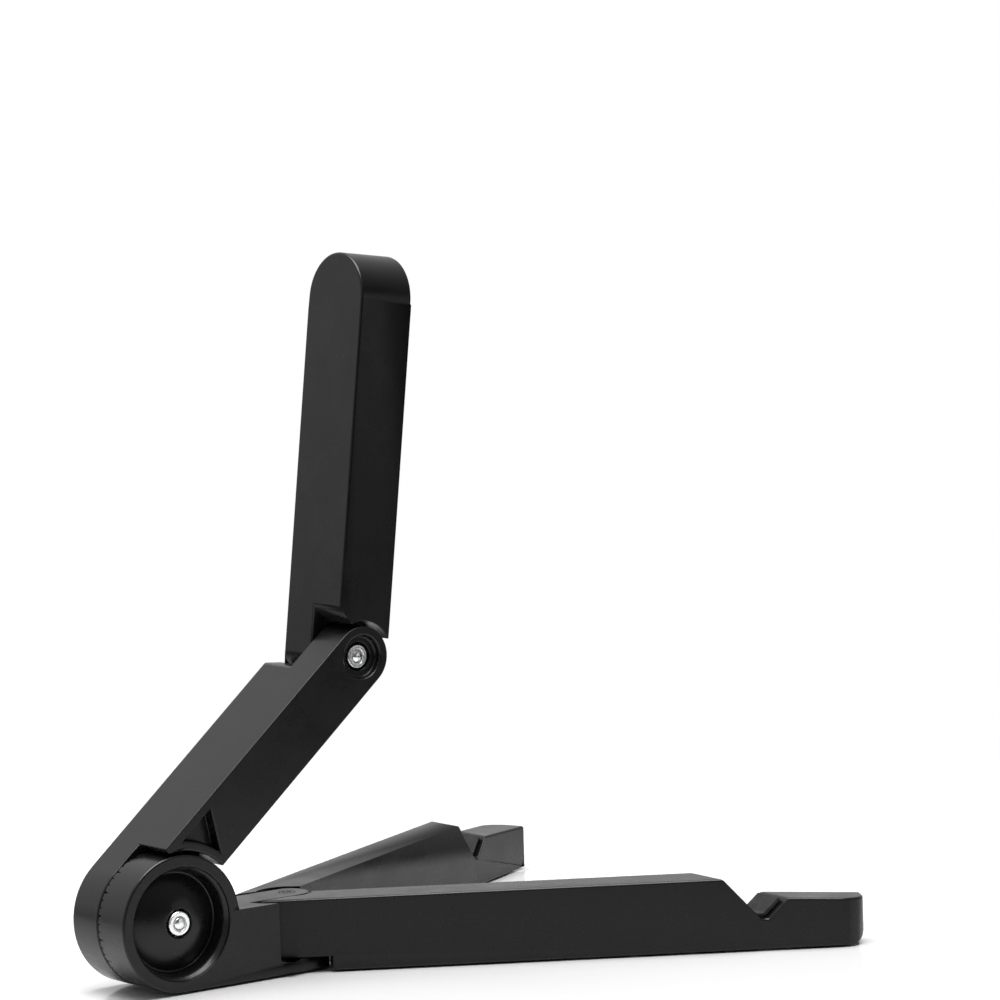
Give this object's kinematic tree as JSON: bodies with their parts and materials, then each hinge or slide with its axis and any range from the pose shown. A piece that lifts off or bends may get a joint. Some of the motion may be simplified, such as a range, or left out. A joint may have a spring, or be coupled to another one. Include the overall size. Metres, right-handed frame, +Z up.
{
  "type": "folding tablet stand",
  "caption": "Folding tablet stand: a hinged base with V legs that hook under the tablet's edge and a two-part arm that props up its back.",
  "frame": {"origin": "centre of the underside of the base's rubber foot, on the surface that the stand rests on", "axes": "+Z up, -Y towards the leg tips and the tablet, X along the base hinge and the elbow"},
  "size_m": [0.1452, 0.1662, 0.161],
  "materials": {
    "black_plastic": "fine spark-eroded satin texture",
    "black_rubber": "matt",
    "bright_zinc": "bright plated",
    "spring_steel": "blued satin",
    "white_nylon": "smooth"
  },
  "bodies": {
    "base": {"base_hub": "black_plastic", "base_foot": "black_rubber", "leg_pivot_pin": "spring_steel", "leg_pivot_washer": "white_nylon", "base_hinge_bolt": "bright_zinc", "base_hinge_nut": "bright_zinc", "base_hinge_nut_washer": "bright_zinc"},
    "left_leg": {"left_leg": "black_plastic", "left_leg_foot": "black_rubber", "left_leg_notch_pad": "black_rubber"},
    "right_leg": {"right_leg": "black_plastic", "right_leg_foot": "black_rubber", "right_leg_notch_pad": "black_rubber"},
    "lower_arm": {"lower_arm": "black_plastic", "base_hinge_head_washer": "bright_zinc", "base_hinge_spring_washer": "spring_steel", "elbow_bolt": "bright_zinc", "elbow_nut": "bright_zinc", "elbow_nut_washer": "bright_zinc"},
    "upper_arm": {"upper_arm": "black_plastic", "upper_arm_pad": "black_rubber", "elbow_head_washer": "bright_zinc", "elbow_spring_washer": "spring_steel"}
  },
  "joints": [
    {"name": "left_leg_swing", "type": "hinge", "parent": "base", "child": "left_leg", "pos_m": [0, -0.02015, 0], "axis": [0, 0, -1], "range_deg": [-32.4, 0.5]},
    {"name": "right_leg_swing", "type": "hinge", "parent": "base", "child": "right_leg", "pos_m": [0, -0.02015, 0], "axis": [0, 0, 1], "range_deg": [-28, 4.8]},
    {"name": "base_tilt", "type": "hinge", "parent": "base", "child": "lower_arm", "pos_m": [0, 0.0152, 0.0158], "axis": [-1, 0, 0], "range_deg": [-40, 60]},
    {"name": "elbow_tilt", "type": "hinge", "parent": "lower_arm", "child": "upper_arm", "pos_m": [0, -0.03606, 0.06984], "axis": [-1, 0, 0], "range_deg": [-42.7, 47.3]}
  ]
}
